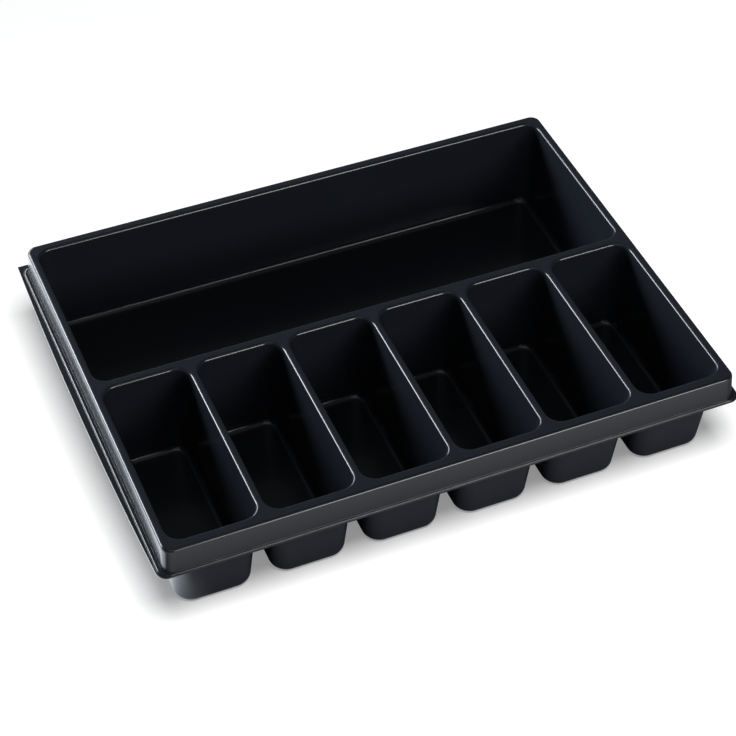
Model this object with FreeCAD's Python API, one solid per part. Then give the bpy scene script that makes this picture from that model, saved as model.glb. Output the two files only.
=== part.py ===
import FreeCAD, Part
import math
import os

# Thermoformed tray drawn from one sheet: six drafted pockets in a row, one long trough behind them,
# a stepped skirt around the deck and a trimmed flange at its foot.
# Millimetres, +Z up. Origin: centre of the deck in plan, on the plane the feet rest on.

# Sheet and overall form
SHEET = 1.2               # formed sheet, same thickness in every wall
DECK_LENGTH = 370.0       # deck along X, to the sharp edge
DECK_WIDTH = 281.0        # deck along Y, to the sharp edge
DECK_CORNER = 6.5         # plan radius of the deck's corners
TRAY_HEIGHT = 66.0        # feet to the top of the deck

# Pockets and trough, sizes at the deck plane before the rim is rounded
POCKET_COUNT = 6
POCKET_REACH = 130.6      # pocket's inside along Y
RIB = 5.0                 # deck left between two pockets
END_STRIP = 5.5           # deck left at the two ends
FRONT_STRIP = 7.5         # deck left in front of the pockets
MIDDLE_STRIP = 6.8        # deck left between pockets and trough
BACK_STRIP = 7.0          # deck left behind the trough
WALL_DRAFT = 4.5          # degrees, every wall of the pockets and the trough
POCKET_CORNER = 10.0      # plan radius of a pocket's upright corners
TROUGH_CORNER = 9.0       # plan radius of the trough's upright corners
FLOOR_RADIUS = 4.5        # inside, between floor and wall
RIM_RADIUS = 2.2          # outside, where the deck turns into a wall

# Skirt: wall, ledge, small step
SKIRT_DEPTH = 18.0        # deck to the ledge
SKIRT_END_DRAFT = 4.7     # degrees, the two end walls
SKIRT_SIDE_DRAFT = 1.9    # degrees, front and back walls
LEDGE_END = 2.6           # ledge beyond the wall's foot, at the ends
LEDGE_FRONT = 1.1
LEDGE_BACK = 0.8
STEP = 0.8                # drop from the ledge to the flange

# Trimmed flange, widths beyond the ridge
FLANGE_END = 1.8
FLANGE_FRONT = 0.6
FLANGE_BACK = 3.4
FLANGE_CROWN = 2.4        # how far the end edges bulge between their corners
FLANGE_CORNER = 5.8       # plan radius of the two front corners, the back ones are cut square

# Rounding stops short of half the strip it is cut from, and of the upright corner it runs into
STRIP_SHARE = 0.47
CORNER_SHARE = 0.85
BANDS = 3                 # level bands that make up each rounding

NODE = "tray"

DECK_TOP = TRAY_HEIGHT
DECK_UNDER = DECK_TOP - SHEET
LEDGE_TOP = DECK_TOP - SKIRT_DEPTH
LEDGE_UNDER = LEDGE_TOP - SHEET
FLANGE_TOP = LEDGE_TOP - STEP
FLANGE_UNDER = FLANGE_TOP - SHEET


class Rect:
    """Plan rectangle between two X and two Y positions."""

    def __init__(self, x0, x1, y0, y1):
        self.x0 = x0
        self.x1 = x1
        self.y0 = y0
        self.y1 = y1

    def grown(self, ends, front, back):
        return Rect(self.x0 - ends, self.x1 + ends, self.y0 - front, self.y1 + back)

    def shrunk(self, inset):
        return self.grown(-inset, -inset, -inset)


DECK = Rect(-DECK_LENGTH / 2, DECK_LENGTH / 2, -DECK_WIDTH / 2, DECK_WIDTH / 2)


def lean(height, degrees):
    """Sideways travel of a drafted wall over a height."""
    return height * math.tan(math.radians(degrees))


def level_sheet(degrees):
    """Sheet thickness measured level across a drafted wall."""
    return SHEET / math.cos(math.radians(degrees))


def straight(xa, ya, xb, yb, z):
    return Part.makeLine(FreeCAD.Vector(xa, ya, z), FreeCAD.Vector(xb, yb, z))


def corner_arc(cx, cy, z, radius, start):
    """Quarter circle from the start angle, anticlockwise."""
    points = []
    for turn in (0.0, 45.0, 90.0):
        angle = math.radians(start + turn)
        points.append(FreeCAD.Vector(cx + radius * math.cos(angle), cy + radius * math.sin(angle), z))
    return Part.Arc(*points).toShape()


def end_arc(x, crown, ya, yb, z):
    """Shallow arc of a bulged end, crowned at the middle of its run."""
    middle = FreeCAD.Vector(x + crown, (ya + yb) / 2.0, z)
    return Part.Arc(FreeCAD.Vector(x, ya, z), middle, FreeCAD.Vector(x, yb, z)).toShape()


def rounded_outline(rect, z, r):
    """Edges of a rectangle with four round corners."""
    x0, x1, y0, y1 = rect.x0, rect.x1, rect.y0, rect.y1
    return [
        straight(x0 + r, y0, x1 - r, y0, z),
        corner_arc(x1 - r, y0 + r, z, r, 270.0),
        straight(x1, y0 + r, x1, y1 - r, z),
        corner_arc(x1 - r, y1 - r, z, r, 0.0),
        straight(x1 - r, y1, x0 + r, y1, z),
        corner_arc(x0 + r, y1 - r, z, r, 90.0),
        straight(x0, y1 - r, x0, y0 + r, z),
        corner_arc(x0 + r, y0 + r, z, r, 180.0),
    ]


def trimmed_outline(rect, z, r):
    """Edges the flange is cut to: bulged ends, round front corners, square back corners."""
    x0, x1, y0, y1 = rect.x0, rect.x1, rect.y0, rect.y1
    return [
        straight(x0 + r, y0, x1 - r, y0, z),
        corner_arc(x1 - r, y0 + r, z, r, 270.0),
        end_arc(x1, FLANGE_CROWN, y0 + r, y1, z),
        straight(x1, y1, x0, y1, z),
        end_arc(x0, -FLANGE_CROWN, y1, y0 + r, z),
        corner_arc(x0 + r, y0 + r, z, r, 180.0),
    ]


def side_face(low, high):
    """Flat face between two straight edges, ruled face between two arcs."""
    if low.Curve.TypeId == "Part::GeomLine":
        a, b = low.Vertexes[0].Point, low.Vertexes[1].Point
        c, d = high.Vertexes[1].Point, high.Vertexes[0].Point
        return Part.Face(Part.makePolygon([a, b, c, d, a]))
    return Part.makeRuledSurface(low, high)


def stack(sections):
    """Solid through level outlines given from the lowest up, its lowest face turned outwards."""
    base = Part.Face(Part.Wire(sections[0]))
    base.reverse()
    faces = [base, Part.Face(Part.Wire(sections[-1]))]
    for lower, upper in zip(sections, sections[1:]):
        faces += [side_face(low, high) for low, high in zip(lower, upper)]
    shell = Part.makeShell(faces)
    shell.sewShape()
    return Part.makeSolid(shell)


def plate(outline, thickness):
    return Part.Face(Part.Wire(outline)).extrude(FreeCAD.Vector(0, 0, thickness))


def rounding(depth, radius, degrees):
    """Level distance from a drafted wall's plane to its rounding, at a depth below the level face.

    The rounding is an arc tangent to the level face and to the wall.
    """
    sine = math.sin(math.radians(degrees))
    if radius <= 0.0 or depth >= radius * (1.0 - sine):
        return 0.0
    centre = (radius - (radius - depth) * sine) / math.cos(math.radians(degrees))
    return centre - math.sqrt(radius ** 2 - (radius - depth) ** 2)


def band_depths(radius, degrees):
    """Depths below the level face at which the bands of a rounding meet."""
    turn = 90.0 - degrees
    return [radius * (1.0 - math.cos(math.radians(turn * k / BANDS))) for k in range(BANDS + 1)]


def pocket_rects():
    """Pockets share what the end strips and ribs leave of the deck's length."""
    room = DECK_LENGTH - 2 * END_STRIP - (POCKET_COUNT - 1) * RIB
    width = room / POCKET_COUNT
    front = DECK.y0 + FRONT_STRIP
    rects = []
    for k in range(POCKET_COUNT):
        left = DECK.x0 + END_STRIP + k * (width + RIB)
        rects.append(Rect(left, left + width, front, front + POCKET_REACH))
    return rects


def trough_rect():
    front = DECK.y0 + FRONT_STRIP + POCKET_REACH + MIDDLE_STRIP
    return Rect(DECK.x0 + END_STRIP, DECK.x1 - END_STRIP, front, DECK.y1 - BACK_STRIP)


def rim_radius():
    """Rim radius, held under half the narrowest strip of deck."""
    return min(RIM_RADIUS, STRIP_SHARE * min(RIB, END_STRIP, FRONT_STRIP, MIDDLE_STRIP, BACK_STRIP))


def tub_section(rect, corner, z, sheets):
    """Level cut through a tub: its inner face, or the face one sheet outside it."""
    top = DECK_TOP - sheets * SHEET
    floor = SHEET - sheets * SHEET
    out = sheets * level_sheet(WALL_DRAFT)
    flare = rounding(top - z, rim_radius() - sheets * SHEET, WALL_DRAFT)
    tuck = rounding(z - floor, floor_radius(corner) + sheets * SHEET, WALL_DRAFT)
    plan = rect.shrunk(lean(DECK_TOP - z, WALL_DRAFT) - out + tuck - flare)
    return rounded_outline(plan, z, corner + out - tuck + flare)


def floor_radius(corner):
    """Floor radius, kept inside the upright corner it runs into."""
    return min(FLOOR_RADIUS, CORNER_SHARE * corner)


def tub(rect, corner, sheets):
    """Solid within a tub's inner face, or within the face one sheet outside it, up to the deck."""
    floor = SHEET - sheets * SHEET
    top = DECK_TOP - sheets * SHEET
    low = [floor + d for d in band_depths(floor_radius(corner) + sheets * SHEET, WALL_DRAFT)]
    high = [top - d for d in band_depths(max(rim_radius() - sheets * SHEET, 0.0), WALL_DRAFT)]
    levels = low + sorted(set(high))
    return stack([tub_section(rect, corner, z, sheets) for z in levels])


def skirt_section(z, sheets):
    """Level cut through the skirt wall with its rounded deck edge, on either face of the sheet."""
    top = DECK_TOP - sheets * SHEET
    radius = rim_radius() - sheets * SHEET
    ends = lean(DECK_TOP - z, SKIRT_END_DRAFT) - sheets * level_sheet(SKIRT_END_DRAFT)
    sides = lean(DECK_TOP - z, SKIRT_SIDE_DRAFT) - sheets * level_sheet(SKIRT_SIDE_DRAFT)
    ends -= rounding(top - z, radius, SKIRT_END_DRAFT)
    tuck = rounding(top - z, radius, SKIRT_SIDE_DRAFT)
    plan = DECK.grown(ends, sides - tuck, sides - tuck)
    return rounded_outline(plan, z, DECK_CORNER - sheets * SHEET - tuck)


def skirt_wall(foot, sheets):
    """Solid within the skirt wall, from a foot level up to the deck."""
    top = DECK_TOP - sheets * SHEET
    depths = band_depths(max(rim_radius() - sheets * SHEET, 0.0), SKIRT_SIDE_DRAFT)
    levels = [foot] + sorted(set(top - d for d in depths))
    return stack([skirt_section(z, sheets) for z in levels])


def ridge_plan():
    """Outer edge of the ledge, all round."""
    side = lean(SKIRT_DEPTH, SKIRT_SIDE_DRAFT)
    end = lean(SKIRT_DEPTH, SKIRT_END_DRAFT)
    return DECK.grown(end + LEDGE_END, side + LEDGE_FRONT, side + LEDGE_BACK)


def skirt_outside():
    """Solid under the outer face of deck, skirt, ledge and flange."""
    ledge = plate(rounded_outline(ridge_plan(), FLANGE_UNDER, DECK_CORNER), STEP + SHEET)
    trim = ridge_plan().grown(FLANGE_END, FLANGE_FRONT, FLANGE_BACK)
    flange = plate(trimmed_outline(trim, FLANGE_UNDER, FLANGE_CORNER), SHEET)
    return skirt_wall(LEDGE_TOP, 0).fuse([ledge, flange])


def skirt_inside():
    """Space under the deck and the ledge, one sheet inside the outer face."""
    outline = rounded_outline(ridge_plan().shrunk(SHEET), FLANGE_UNDER, DECK_CORNER - SHEET)
    return skirt_wall(LEDGE_UNDER, 1).fuse(plate(outline, STEP))


def formed_tray():
    """The sheet: all that lies under its upper face and over its lower face."""
    tubs = [(rect, POCKET_CORNER) for rect in pocket_rects()]
    tubs.append((trough_rect(), TROUGH_CORNER))
    insides = [tub(rect, corner, 0) for rect, corner in tubs]
    outsides = [tub(rect, corner, 1) for rect, corner in tubs]
    upper = skirt_outside().fuse(outsides).cut(insides)
    lower = skirt_inside().cut(outsides)
    return upper.cut(lower).removeSplitter()


def centred(shape):
    """Shift in plan so that the trimmed outline is centred on the origin."""
    box = shape.BoundBox
    return shape.translated(FreeCAD.Vector(-box.Center.x, -box.Center.y, 0))


def main():
    os.makedirs("parts", exist_ok=True)
    tray = centred(formed_tray())
    tray.exportStep(os.path.join("parts", NODE + ".step"))
    box = tray.BoundBox
    print("valid", tray.isValid(), "solids", len(tray.Solids), "faces", len(tray.Faces))
    print("size", round(box.XLength, 2), round(box.YLength, 2), round(box.ZLength, 2))
    print("volume cm3", round(tray.Volume / 1000.0, 2))


main()
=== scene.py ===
import math
import bpy
import bmesh
import numpy as np
from mathutils import Matrix, Vector


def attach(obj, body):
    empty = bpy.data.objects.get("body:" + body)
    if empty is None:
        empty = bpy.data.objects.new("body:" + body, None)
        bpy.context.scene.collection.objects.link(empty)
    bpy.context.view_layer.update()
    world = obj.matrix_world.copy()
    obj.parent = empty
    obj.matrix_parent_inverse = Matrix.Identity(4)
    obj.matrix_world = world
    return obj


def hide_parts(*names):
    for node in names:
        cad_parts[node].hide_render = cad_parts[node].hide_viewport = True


# Divided formed tray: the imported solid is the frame. The piece below is the same sheet as a smooth skin,
# with the flange a little narrower near its front corners
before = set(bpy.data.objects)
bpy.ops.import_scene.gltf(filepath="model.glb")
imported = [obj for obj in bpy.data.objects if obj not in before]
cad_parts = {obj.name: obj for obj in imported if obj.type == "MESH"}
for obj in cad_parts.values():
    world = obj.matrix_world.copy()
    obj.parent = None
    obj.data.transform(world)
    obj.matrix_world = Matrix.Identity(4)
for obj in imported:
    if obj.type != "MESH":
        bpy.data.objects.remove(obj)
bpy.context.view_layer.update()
print("frame loaded")

mm = 0.001

# Sheet, deck, pockets and trough, in millimetres; plan positions count from the deck's centre,
# heights down from the deck
tray = {
    "sheet": 1.2,
    "deckLength": 370.0,
    "deckWidth": 281.0,
    "deckCorner": 6.5,
    "height": 66.0,
    "centreY": -1.25,            # deck's centre in the frame
    "pockets": 6,
    "pocketReach": 130.6,
    "rib": 5.0,                  # deck between two pockets
    "endStrip": 5.5,             # and the strips of deck round them and the trough
    "frontStrip": 7.5,
    "middleStrip": 6.8,
    "backStrip": 7.0,
    "draft": math.radians(4.5),
    "pocketCorner": 10.0,
    "troughCorner": 9.0,
    "floorRadius": 4.5,
    "rimRadius": 2.2,
    "rimFlat": 0.12,             # flat strips beside the roundings, at the rim and the floor
    "floorFlat": 0.3,
}

# Skirt, ledge, step and flange. Each side has its draft, the rounding at the wall's foot above and below,
# and how far the ridge and the trimmed edge lie beyond the deck. At the ends the ridge's rounding goes
# 0.5 below the flange, which leaves a fine groove at its foot
skirt = {
    "depth": 18.0,
    "step": 0.8,
    "stepRadius": 0.3,
    "trimRadius": 0.2,
    "underRadius": 0.15,         # inside the ridge, on the lower face
    "end": {"draft": math.radians(4.7), "foot": 0.1, "under": 0.5,
            "ridge": 4.0, "ridgeRadius": 1.3, "trim": 5.88},
    "front": {"draft": math.radians(1.9), "foot": 0.4, "under": 0.5,
              "ridge": 1.69, "ridgeRadius": 0.5, "trim": 2.29},
    "back": {"draft": math.radians(1.9), "foot": 0.35, "under": 0.4,
             "ridge": 1.39, "ridgeRadius": 0.4, "trim": 4.79},
    "crown": 2.4,                # bulge of the two end edges
    "taper": 1.1,                # what they lose towards the front
    "trimCorner": 6.6,
    "endZone": 8.0,              # depth of the zone at each end that both of these move
    "deckFlat": 0.25,            # flat strips beside the roundings
    "ledgeFlat": 0.04,
    "trimFlat": 0.05,
    "underFlat": 0.1,
}

# Steps of the grids
grid = {
    "corner": 12,
    "rim": 8,
    "floor": 8,
    "wall": 6,
    "skirtWall": 4,
    "bend": 5,                   # roundings of the foot and the ridge
    "smallBend": 4,
    "underBend": 3,
    "pocketSide": 10,
    "pocketReach": 20,
    "troughSide": 44,
    "skirtSide": 64,
    "floorRings": (0.9, 0.6, 0.3),
    "longHold": 0.001,           # share of a long line left beside its ends, and of the skirt's wall
    "wallHold": 0.02,
}

# Parts of the skirt's section, in order: upper rim and wall, ledge, flange, lower face, lower wall and rim
zone = {"wall": 0, "ledge": 1, "flange": 2, "under": 3, "inner": 4}


def arc(centre, radius, start, end, steps):
    # centre + radius * (sin a, cos a), a running from start to end; a negative radius turns it inwards
    a = np.linspace(start, end, steps + 1)
    return centre[0] + radius * np.sin(a), centre[1] + radius * np.cos(a)


def spread(count, edge=0.004):
    # fractions of a straight line, evenly spread, with one more close to each end to hold the flat there
    return np.concatenate([[edge], np.linspace(0, 1, count + 2)[1:-1], [1 - edge]])


def outlineLoop(x0, x1, y0, y1, front, back, square, alongX, alongY):
    # level outlines of a rectangle, one row for each entry of the columns given: straight sides are
    # x0 + r + f * (length - 2r), corners are centre + r * (sin t, -cos t) turned by quarter turns, and
    # square slides a corner's points from its circle to the sharp corner, (min(1, tan t), min(1, cot t));
    # only the back corners have it
    t = np.linspace(0, math.pi / 2, grid["corner"] + 1)[None, :]
    s, c = np.sin(t), np.cos(t)
    sharpS = np.minimum(1, np.tan(np.minimum(t, 1.5)))      # 1.5 keeps clear of the tangent's pole
    sharpC = sharpS[:, ::-1]
    sb, cb = s + square * (sharpS - s), c + square * (sharpC - c)
    fx, fy = alongX[None, :], alongY[None, :]
    longX0, longX1 = x1 - x0 - 2 * front, x1 - x0 - 2 * back
    longY = y1 - y0 - front - back
    ones = np.ones_like(x0)
    x = [x0 + front + fx * longX0, x1 - front + front * s, x1 * np.ones_like(fy), x1 - back + back * cb,
         x1 - back - fx * longX1, x0 + back - back * sb, x0 * np.ones_like(fy), x0 + front - front * c]
    y = [y0 * np.ones_like(fx), y0 + front - front * c, y0 + front + fy * longY, y1 - back + back * sb,
         y1 * np.ones_like(fx), y1 - back + back * cb, y1 - back - fy * longY, y0 + front - front * s]
    return np.concatenate([v * ones for v in x], 1), np.concatenate([v * ones for v in y], 1)


def bandFaces(rows, count, first=0):
    # quads of a closed band: row j, column i to the next row and column, the last column meeting the first
    j = np.arange(rows - 1)[:, None] * count + first
    i = np.arange(count)[None, :]
    n = (i + 1) % count
    return np.stack([j + i, j + n, j + count + n, j + count + i], -1).reshape(-1, 4)


def tubProfile(sheets):
    # section through a tub's wall, from deck to floor: inset beyond the drafted plane (q) and height (z);
    # rim and floor are arcs tangent to level faces and to the plane, one sheet apart on the two faces
    t = sheets * tray["sheet"]
    d, rim, low = tray["draft"], tray["rimRadius"], tray["floorRadius"]
    turn = math.pi / 2 - d
    floorZ = -(tray["height"] - tray["sheet"]) + low
    rimCentre = (-rim * (1 - math.sin(d)) / math.cos(d), -rim)
    floorCentre = ((low - floorZ * math.sin(d)) / math.cos(d), floorZ)
    rs, rz = arc(rimCentre, rim - t, 0, turn, grid["rim"])
    fs, fz = arc(floorCentre, -(low + t), turn, 0, grid["floor"])
    f = spread(grid["wall"] - 1)
    ws, wz = rs[-1] + f * (fs[0] - rs[-1]), rz[-1] + f * (fz[0] - rz[-1])
    s = np.concatenate([[rs[0] - tray["rimFlat"]], rs, ws, fs, [fs[-1] + tray["floorFlat"]]])
    z = np.concatenate([[rz[0]], rz, wz, fz, [fz[-1]]])
    return s + z * math.tan(d), z


def tubSurface(rect, corner, sheets, alongX, alongY):
    # every profile point carried round the tub: sides inset by draft * depth + q, corner radius less q,
    # then the floor's last ring drawn in towards its middle, where it closes on one point
    q, z = tubProfile(sheets)
    q, z = q[:, None], z[:, None]
    inset = q - z * math.tan(tray["draft"])
    x, y = outlineLoop(rect[0] + inset, rect[1] - inset, rect[2] + inset, rect[3] - inset,
                       corner - q, corner - q, np.zeros_like(q), alongX, alongY)
    middle = ((rect[0] + rect[1]) / 2, (rect[2] + rect[3]) / 2)
    rings = np.array(grid["floorRings"])[:, None]
    x = np.concatenate([x, middle[0] + rings * (x[-1:] - middle[0])])
    y = np.concatenate([y, middle[1] + rings * (y[-1:] - middle[1])])
    z = np.concatenate([np.repeat(z, x.shape[1], 1), np.full((len(rings), x.shape[1]), z[-1, 0])])
    rows, count = x.shape
    points = np.concatenate([np.stack([x, y, z], -1).reshape(-1, 3), [[middle[0], middle[1], z[-1, 0]]]])
    i = np.arange(count)
    last = (rows - 1) * count
    fan = np.stack([last + i, last + (i + 1) % count, np.full(count, rows * count)], -1)
    return points, bandFaces(rows, count), fan


def joined(before, after):
    # straight wall between the last point of one run and the first of the next
    f = spread(grid["skirtWall"] - 1, grid["wallHold"])
    return tuple(p[-1] + f * (q[0] - p[-1]) for p, q in zip(before, after))


def single(d, z):
    return np.array([d]), np.array([z])


def skirtSide(side):
    # section through one side of the skirt, deck to trimmed edge on the outer face and back on the inner
    # one: distance beyond the deck's edge (d) and height (z), arcs and straight lines one after another,
    # and the zone that each point belongs to
    t, low, flange = tray["sheet"], -skirt["depth"], -skirt["depth"] - skirt["step"]
    a, rim, foot, under = side["draft"], tray["rimRadius"], side["foot"], side["under"]
    ridge, bend, trim = side["ridge"], side["ridgeRadius"], side["trim"]
    small, edge, tight = skirt["stepRadius"], skirt["trimRadius"], skirt["underRadius"]
    turn, quarter = math.pi / 2 - a, math.pi / 2
    rimAt = (-rim * (1 - math.sin(a)) / math.cos(a), -rim)
    footAt = ((foot - (low + foot) * math.sin(a)) / math.cos(a), low + foot)
    innerAt = ((under - t - (low - t + under) * math.sin(a)) / math.cos(a), low - t + under)
    upperRim = arc(rimAt, rim, 0, turn, grid["rim"])
    lowerRim = arc(rimAt, rim - t, turn, 0, grid["rim"])
    upperFoot = arc(footAt, -foot, turn, 0, grid["bend"])
    lowerFoot = arc(innerAt, -under, 0, turn, grid["bend"])
    runs = [
        ("wall", single(rimAt[0] - skirt["deckFlat"], 0.0)),
        ("wall", upperRim),
        ("wall", joined(upperRim, upperFoot)),
        ("ledge", upperFoot),
        ("ledge", single(ridge - bend - skirt["ledgeFlat"], low)),
        ("ledge", arc((ridge - bend, low - bend), bend, 0, quarter, grid["bend"])),
        ("ledge", arc((ridge + small, flange + small), -small, quarter, 0, grid["smallBend"])),
        ("flange", single(trim - edge - skirt["trimFlat"], flange)),
        ("flange", arc((trim - edge, flange - edge), edge, 0, quarter, grid["smallBend"])),
        ("flange", arc((trim - edge, flange - t + edge), edge, quarter, 2 * quarter, grid["smallBend"])),
        ("under", single(ridge - t + small + skirt["underFlat"], flange - t)),
        ("under", arc((ridge - t + small, flange - t + small), -small, 0, quarter, grid["smallBend"])),
        ("under", arc((ridge - t - tight, low - t - tight), tight, quarter, 0, grid["underBend"])),
        ("under", lowerFoot),
        ("inner", joined(lowerFoot, lowerRim)),
        ("inner", lowerRim),
        ("inner", single(rimAt[0] - skirt["deckFlat"], -t)),
    ]
    d = np.concatenate([run[0] for _, run in runs])
    z = np.concatenate([run[1] for _, run in runs])
    return d, z, np.repeat([zone[name] for name, _ in runs], [len(run[0]) for _, run in runs])


def skirtSurface(alongX, alongY):
    # the three sections carried round the deck: each side takes its own, a corner blends their heights by
    # cos and sin squared of its turn, and the trimmed edge is bulged at the ends by crown * (1 - u^2), less
    # taper * ((1 - u) / 2)^3, where u runs from -1 in front to 1 behind
    end, front, back = (skirtSide(skirt[k]) for k in ("end", "front", "back"))
    place = end[2][:, None]
    dEnd, dFront, dBack = (section[0][:, None] for section in (end, front, back))
    zEnd, zFront, zBack = (section[1][:, None] for section in (end, front, back))
    # a rim's rounding is taken off the corner's radius too, so that its upper edge stays parallel
    rounded = np.minimum(dEnd + zEnd * math.tan(skirt["end"]["draft"]), 0)
    inner = tray["deckCorner"] - tray["sheet"]
    radii = {
        "wall": tray["deckCorner"] + rounded,
        "ledge": tray["deckCorner"],
        "flange": skirt["trimCorner"],
        "under": inner,
        "inner": inner + np.minimum(rounded + tray["sheet"], 0),
    }
    radius = np.select([place == zone[k] for k in radii], list(radii.values()))
    onFlange = place == zone["flange"]
    halfX, halfY = tray["deckLength"] / 2, tray["deckWidth"] / 2
    x, y = outlineLoop(-halfX - dEnd, halfX + dEnd, -halfY - dFront, halfY + dBack,
                       radius, radius, np.where(onFlange, 1.0, 0.0), alongX, alongY)
    low, high = y.min(1)[:, None], y.max(1)[:, None]
    u = (2 * y - high - low) / (high - low)
    bulge = skirt["crown"] * (1 - u ** 2) - skirt["taper"] * ((1 - u) / 2) ** 3
    x = x + np.sign(x) * np.where(onFlange & (np.abs(x) > halfX - skirt["endZone"]), bulge, 0.0)
    # share of the end section in each point's height, from which side or corner it lies on
    t = np.linspace(0, math.pi / 2, grid["corner"] + 1)
    rise, fall = np.sin(t) ** 2, np.cos(t) ** 2
    nx, ny, nc = len(alongX), len(alongY), len(t)
    share = np.concatenate([np.zeros(nx), rise, np.ones(ny), fall, np.zeros(nx), rise, np.ones(ny), fall])
    behind = np.concatenate([np.zeros(nx + nc + ny), np.ones(nc + nx + nc), np.zeros(ny + nc)])
    z = share * zEnd + (1 - share) * np.where(behind > 0, zBack, zFront)
    rows, count = x.shape
    return np.stack([x, y, z], -1).reshape(-1, 3), bandFaces(rows, count)


def tubRects():
    # plan rectangles of the pockets and the trough at the deck's plane, with corner radius and columns
    halfX, halfY = tray["deckLength"] / 2, tray["deckWidth"] / 2
    room = tray["deckLength"] - 2 * tray["endStrip"] - (tray["pockets"] - 1) * tray["rib"]
    width = room / tray["pockets"]
    front = -halfY + tray["frontStrip"]
    rects = []
    for k in range(tray["pockets"]):
        left = -halfX + tray["endStrip"] + k * (width + tray["rib"])
        rects.append(((left, left + width, front, front + tray["pocketReach"]), tray["pocketCorner"],
                      spread(grid["pocketSide"]), spread(grid["pocketReach"])))
    trough = (-halfX + tray["endStrip"], halfX - tray["endStrip"],
              front + tray["pocketReach"] + tray["middleStrip"], halfY - tray["backStrip"])
    rects.append((trough, tray["troughCorner"],
                  spread(grid["troughSide"], grid["longHold"]), spread(grid["pocketReach"])))
    return rects


def buildSkin(name):
    # all surfaces side by side in one mesh, then the flats between their first loops filled: the deck's
    # upper face, and its lower one, which the skirt's last loop bounds
    points, quads, fans, top, bottom = [], [], [], [], []
    offset = 0
    for sheets in (0, 1):
        for rect, corner, alongX, alongY in tubRects():
            p, q, f = tubSurface(rect, corner, sheets, alongX, alongY)
            count = len(f)
            points.append(p)
            quads.append(q + offset)
            fans.append(f + offset)
            (bottom if sheets else top).append((offset, count))
            offset += len(p)
    side = spread(grid["skirtSide"], grid["longHold"])
    p, q = skirtSurface(side, side)
    count = 4 * len(side) + 4 * (grid["corner"] + 1)
    points.append(p)
    quads.append(q + offset)
    top.append((offset, count))
    bottom.append((offset + len(p) - count, count))
    p = np.concatenate(points) + np.array([0, tray["centreY"], tray["height"]])
    mesh = bpy.data.meshes.new(name)
    mesh.from_pydata((p * mm).tolist(), [], np.concatenate(quads).tolist() + np.concatenate(fans).tolist())
    bm = bmesh.new()
    bm.from_mesh(mesh)
    bm.verts.ensure_lookup_table()
    for loops in (top, bottom):
        edges = [bm.edges.get((bm.verts[first + k], bm.verts[first + (k + 1) % n]))
                 for first, n in loops for k in range(n)]
        bmesh.ops.triangle_fill(bm, use_beauty=True, use_dissolve=False, edges=edges, normal=(0, 0, 1))
    bmesh.ops.recalc_face_normals(bm, faces=bm.faces[:])
    openEdges = sum(1 for e in bm.edges if not e.is_manifold)
    print("skin", len(bm.verts), "points", len(bm.faces), "faces, open edges", openEdges)
    bm.to_mesh(mesh)
    bm.free()
    mesh.polygons.foreach_set("use_smooth", np.ones(len(mesh.polygons), bool))
    piece = bpy.data.objects.new(name, mesh)
    bpy.context.scene.collection.objects.link(piece)
    return piece


class Wire:
    # wraps a node socket so that values can be written as expressions
    def __init__(self, tree, socket):
        self.tree, self.socket = tree, socket

    def math(self, operation, other, flip=False):
        a, b = (other, self) if flip else (self, other)
        return addNode(self.tree, "ShaderNodeMath", {"operation": operation}, {0: a, 1: b})

    def __add__(self, other):
        return self.math("ADD", other)

    def __radd__(self, other):
        return self.math("ADD", other, True)

    def __sub__(self, other):
        return self.math("SUBTRACT", other)

    def __rsub__(self, other):
        return self.math("SUBTRACT", other, True)

    def __mul__(self, other):
        return self.math("MULTIPLY", other)

    def __rmul__(self, other):
        return self.math("MULTIPLY", other, True)


def addNode(tree, kind, settings=None, inputs=None, output=0):
    # any node: its settings first, then a value or a link for each named or numbered socket
    node = tree.nodes.new(kind)
    for key, value in (settings or {}).items():
        setattr(node, key, value)
    for key, value in (inputs or {}).items():
        if isinstance(value, Wire):
            tree.links.new(value.socket, node.inputs[key])
        else:
            node.inputs[key].default_value = value
    return Wire(tree, node.outputs[output]) if len(node.outputs) else None


def newMaterial(name):
    material = bpy.data.materials.new(name)
    material.use_nodes = True
    material.node_tree.nodes.clear()
    return material, material.node_tree


def noise(tree, where, kind):
    scale, detail, rough = kind
    return addNode(tree, "ShaderNodeTexNoise", {}, {
        "Vector": where, "Scale": scale, "Detail": detail, "Roughness": rough})


def mixColours(tree, factor, first, second):
    # a Mix node's colours are its sockets 6 and 7 and its output 2
    return addNode(tree, "ShaderNodeMix", {"data_type": "RGBA"}, {0: factor, 6: first, 7: second}, 2)


def smooth(tree, value, start, end):
    # 0 at start, 1 at end, eased between them by 3t^2 - 2t^3
    return addNode(tree, "ShaderNodeMapRange", {"interpolation_type": "SMOOTHSTEP"},
                   {"Value": value, "From Min": start, "From Max": end})


# Black sheet: colour, gloss and the unevenness that forming leaves; a noise is scale, detail and roughness
sheetLook = {
    "dark": (0.0086, 0.0102, 0.0142, 1),
    "light": (0.0118, 0.0138, 0.0186, 1),
    "broadNoise": (9.0, 3.0, 0.55),
    "fineNoise": (260.0, 3.0, 0.6),
    "roughness": 0.21,
    "roughnessSpread": 0.05,
    "broadShare": 0.8,
    "fineShare": 0.2,
    "ior": 1.46,
    "waveNoise": (14.0, 1.5, 0.4),
    "waveHeight": 0.10,
    "waveStrength": 0.35,
    "waveDistance": 0.0006,
    "grainNoise": (900.0, 2.0, 0.5),
    "grainStrength": 0.006,
    "grainDistance": 0.0001,
}


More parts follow.
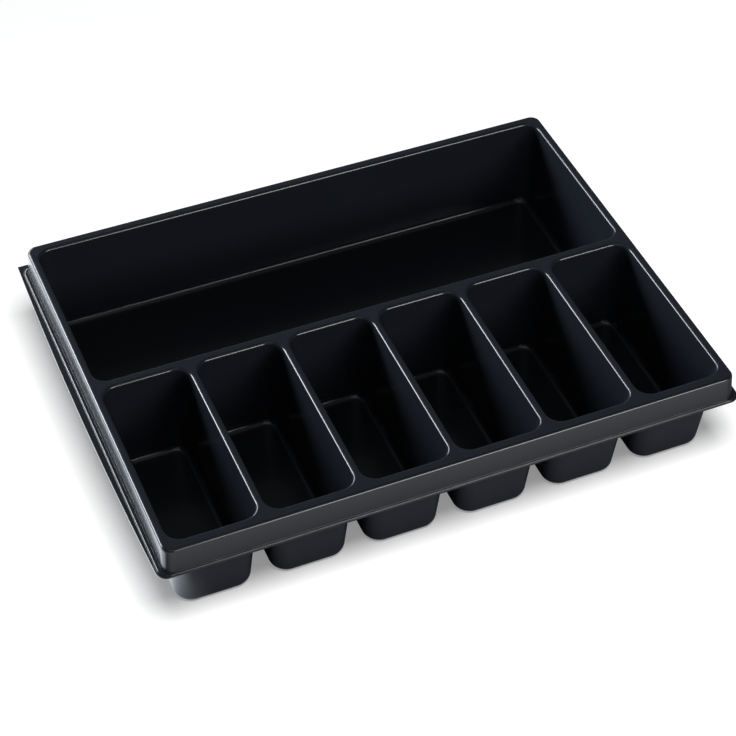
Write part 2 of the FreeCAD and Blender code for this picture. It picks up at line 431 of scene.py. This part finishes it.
def blackSheet():
    material, tree = newMaterial("blackSheet")
    look = sheetLook
    where = addNode(tree, "ShaderNodeTexCoord", output="Object")
    broad = noise(tree, where, look["broadNoise"])
    fine = noise(tree, where, look["fineNoise"])
    colour = mixColours(tree, broad, look["dark"], look["light"])
    uneven = look["broadShare"] * broad + look["fineShare"] * fine - 0.5
    roughness = look["roughness"] + look["roughnessSpread"] * uneven
    height = look["waveHeight"] * noise(tree, where, look["waveNoise"])
    wave = addNode(tree, "ShaderNodeBump", {}, {
        "Strength": look["waveStrength"], "Distance": look["waveDistance"], "Height": height})
    grainHeight = noise(tree, where, look["grainNoise"])
    bump = addNode(tree, "ShaderNodeBump", {}, {
        "Strength": look["grainStrength"], "Distance": look["grainDistance"], "Height": grainHeight,
        "Normal": wave})
    shader = addNode(tree, "ShaderNodeBsdfPrincipled", {}, {
        "Base Color": colour, "Roughness": roughness, "IOR": look["ior"], "Normal": bump})
    addNode(tree, "ShaderNodeOutputMaterial", {}, {"Surface": shader})
    return material


skin = buildSkin("traySkin")
skin.data.materials.append(blackSheet())
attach(skin, "root")
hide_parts("tray")
print("skin built")

# Floor, in metres: white for the camera; in the tray's gloss it has a painted glow on the left side and a
# painted shadow in front
floorLook = {
    "half": 6.0,
    "level": -0.0002,            # just under the feet
    "colour": (0.84, 0.84, 0.84, 1),
    "roughness": 0.9,
    "lift": 0.26,                # added for the camera only
    "glow": 3.2,                 # painted glow, added in the gloss, left of the tray and not before its front
    "glowColour": (0.84, 0.90, 1.0, 1),
    "glowFrom": -0.15,
    "glowTo": -0.22,
    "glowStart": -0.165,
    "glowFull": -0.14,
    # painted shadow: in the gloss the floor before the tray's front is darkened, standing in for the tray's
    # own shadow there
    "paintedShadowColour": (0.13, 0.13, 0.135, 1),
    "paintedShadowFrom": -0.218,
    "paintedShadowTo": -0.168,
}


def buildFloor():
    half, level = floorLook["half"], floorLook["level"]
    corners = [(-half, -half, level), (half, -half, level), (half, half, level), (-half, half, level)]
    mesh = bpy.data.meshes.new("floor")
    mesh.from_pydata(corners, [], [(0, 1, 2, 3)])
    piece = bpy.data.objects.new("floor", mesh)
    bpy.context.scene.collection.objects.link(piece)
    material, tree = newMaterial("floorWhite")
    path = tree.nodes.new("ShaderNodeLightPath")
    place = addNode(tree, "ShaderNodeTexCoord", output="Object")
    across = addNode(tree, "ShaderNodeSeparateXYZ", {}, {0: place}, "X")
    along = addNode(tree, "ShaderNodeSeparateXYZ", {}, {0: place}, "Y")
    # painted glow: the floor left of the tray shines in the gloss, standing in for a brightly lit floor
    # there
    leftward = smooth(tree, across, floorLook["glowFrom"], floorLook["glowTo"])
    beside = leftward * smooth(tree, along, floorLook["glowStart"], floorLook["glowFull"])
    # painted shadow on the floor in front of the tray, seen only in the gloss
    paintedShadow = smooth(tree, along, floorLook["paintedShadowFrom"], floorLook["paintedShadowTo"])
    glossy = Wire(tree, path.outputs["Is Glossy Ray"])
    seen = Wire(tree, path.outputs["Is Camera Ray"])
    shine = floorLook["lift"] * seen + floorLook["glow"] * beside * glossy
    # the floor's colour, darkened by the painted shadow for glossy rays
    colour = mixColours(tree, glossy * paintedShadow, floorLook["colour"], floorLook["paintedShadowColour"])
    # bluish tint of the painted glow, in the gloss only
    tint = mixColours(tree, glossy, (1, 1, 1, 1), floorLook["glowColour"])
    emission = addNode(tree, "ShaderNodeVectorMath", {"operation": "SCALE"}, {0: tint, "Scale": shine})
    shader = addNode(tree, "ShaderNodeBsdfPrincipled", {}, {
        "Base Color": colour, "Roughness": floorLook["roughness"], "Specular IOR Level": 0.0,
        "Emission Color": emission, "Emission Strength": 1.0})
    # from underneath the floor is clear, so that the tray's underside can be looked at
    below = addNode(tree, "ShaderNodeNewGeometry", output="Backfacing") * seen
    clear = addNode(tree, "ShaderNodeBsdfTransparent")
    surface = addNode(tree, "ShaderNodeMixShader", {}, {0: below, 1: shader, 2: clear})
    addNode(tree, "ShaderNodeOutputMaterial", {}, {"Surface": surface})
    mesh.materials.append(material)
    return piece


floor = buildFloor()

# Lamps: place, size, watts, colour, the point each faces, what it lights, and whether the gloss shows it
lamps = [
    {"name": "wash", "at": (-0.12, -0.62, 2.1), "size": (1.1, 1.1), "power": 52.0,
     "colour": (1, 1, 1), "to": (0, 0, 0), "lights": "floor", "inGloss": True},
    {"name": "top", "at": (-0.5, -1.2, 2.1), "size": (1.6, 1.4), "power": 4.0,
     "colour": (1, 1, 1), "to": (0, 0, 0.03), "lights": "tray", "inGloss": True},
    {"name": "key", "at": (-0.70, 2.0, 0.95), "size": (0.7, 0.6), "power": 55.0,
     "colour": (0.93, 0.97, 1.0), "to": (0, 0, 0.05), "lights": "tray", "inGloss": False},
    {"name": "back", "at": (-0.95, 2.05, 0.85), "size": (1.9, 0.8), "power": 42.0,
     "colour": (0.93, 0.97, 1.0), "to": (0, 0, 0.05), "lights": "tray", "inGloss": True},
    {"name": "left", "at": (-1.85, 1.45, 0.66), "size": (0.8, 0.7), "power": 36.0,
     "colour": (0.93, 0.97, 1.0), "to": (0, 0, 0.05), "lights": "tray", "inGloss": True},
    {"name": "front", "at": (0.68, -1.94, 0.82), "size": (1.0, 0.68), "power": 28.0,
     "colour": (1, 1, 1), "to": (0, 0, 0.03), "lights": "tray", "inGloss": True},
]


def litGroup(name, piece):
    group = bpy.data.collections.new(name)
    group.objects.link(piece)
    return group


def buildLamp(data, groups):
    light = bpy.data.lights.new(data["name"], "AREA")
    light.shape = "RECTANGLE"
    light.size, light.size_y = data["size"]
    light.energy = data["power"]
    light.color = data["colour"]
    lamp = bpy.data.objects.new(data["name"], light)
    bpy.context.scene.collection.objects.link(lamp)
    lamp.location = data["at"]
    lamp.rotation_euler = (Vector(data["to"]) - Vector(data["at"])).to_track_quat("-Z", "Y").to_euler()
    lamp.light_linking.receiver_collection = groups[data["lights"]]
    lamp.visible_glossy = data["inGloss"]
    return lamp


lit = {"floor": litGroup("litFloor", floor), "tray": litGroup("litTray", skin)}
for data in lamps:
    buildLamp(data, lit)

worldLook = {"strength": 0.11, "colour": (0.90, 0.95, 1.0, 1)}
world = bpy.data.worlds.new("studio")
world.use_nodes = True
background = world.node_tree.nodes["Background"]
background.inputs["Color"].default_value = worldLook["colour"]
background.inputs["Strength"].default_value = worldLook["strength"]
bpy.context.scene.world = world
print("stage and lamps built")

# Camera: angles round from the front and above the floor and a touch of roll, in radians, distance in
# metres, lens and sensor in millimetres, aimed at a point given from the deck's centre
view = {
    "round": 0.401518,
    "above": 0.784001,
    "roll": 0.007090,
    "distance": 1.28833,
    "lens": 102.348,
    "sensor": 36.0,
    "aim": (-0.0210155, -0.0471340, 0.0),
    "near": 0.05,
    "far": 30.0,
}


def buildCamera():
    a, e = view["round"], view["above"]
    look = Vector((math.sin(a) * math.cos(e), math.cos(a) * math.cos(e), -math.sin(e)))
    right = Vector((math.cos(a), -math.sin(a), 0))
    up = right.cross(look)
    c, s = math.cos(view["roll"]), math.sin(view["roll"])
    turnedRight, turnedUp = c * right + s * up, c * up - s * right
    aim = Vector(view["aim"]) + Vector((0, tray["centreY"] * mm, tray["height"] * mm))
    data = bpy.data.cameras.new("camera")
    data.lens = view["lens"]
    data.sensor_width = view["sensor"]
    data.clip_start, data.clip_end = view["near"], view["far"]
    camera = bpy.data.objects.new("camera", data)
    bpy.context.scene.collection.objects.link(camera)
    # the camera's own axes are right, up and backwards
    place = Matrix((turnedRight, turnedUp, -look)).transposed().to_4x4()
    place.translation = aim - view["distance"] * look
    camera.matrix_world = place
    bpy.context.scene.camera = camera


buildCamera()
bpy.context.scene.view_settings.view_transform = "Standard"
print("camera placed")
